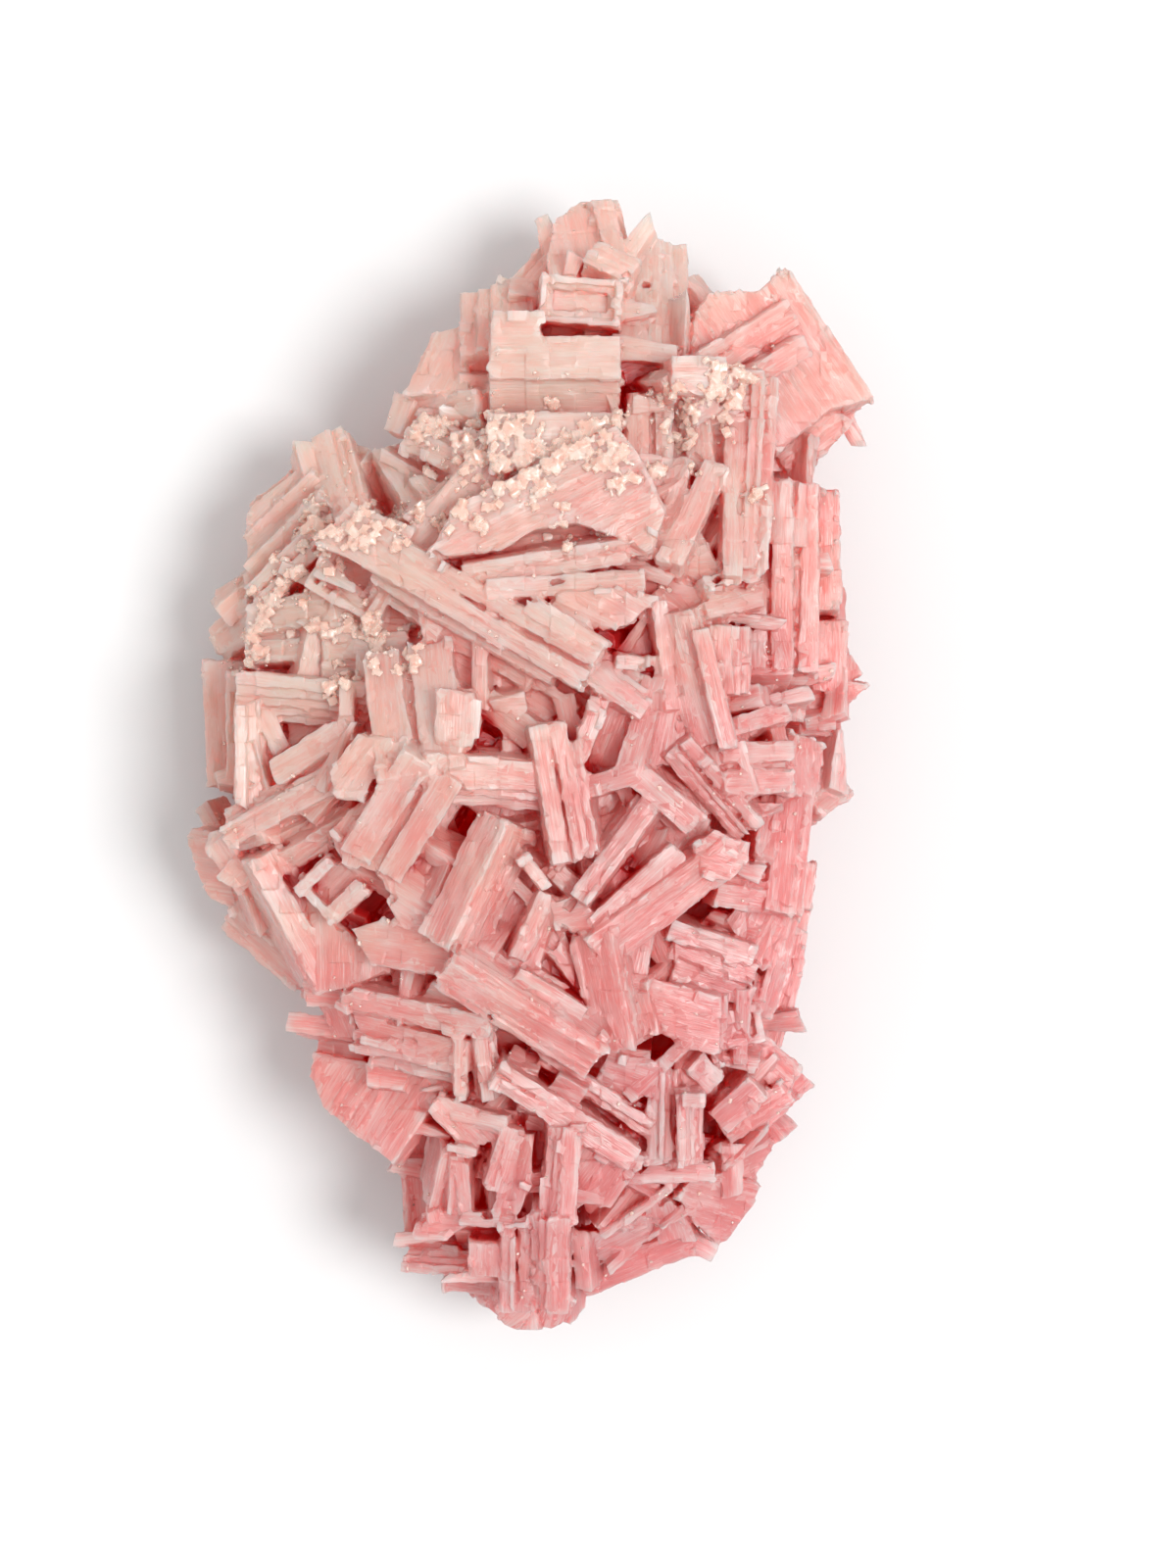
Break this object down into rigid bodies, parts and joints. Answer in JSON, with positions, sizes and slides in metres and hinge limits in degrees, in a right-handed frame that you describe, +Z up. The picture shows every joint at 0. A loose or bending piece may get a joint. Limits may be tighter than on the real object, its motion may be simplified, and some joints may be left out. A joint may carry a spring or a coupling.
{
  "type": "halite crystal cluster",
  "caption": "Pink halite cluster: skeletal salt cubes, grooved bars and thin plates grown together into one long lump that lies flat on its cut underside.",
  "frame": {"origin": "on the flat cut underside, below the middle of the bounding box", "axes": "+Z up out of the underside, +Y along the length of the cluster towards its narrow crest, +X across it"},
  "size_m": [0.0884, 0.1454, 0.0461],
  "materials": {
    "pink_halite": "milky translucent pink salt crystal, paler and peachy at the upper left, rose at the lower right, with a satin to glossy lustre"
  },
  "bodies": {
    "root": {"halite_cluster": "pink_halite"}
  },
  "joints": []
}
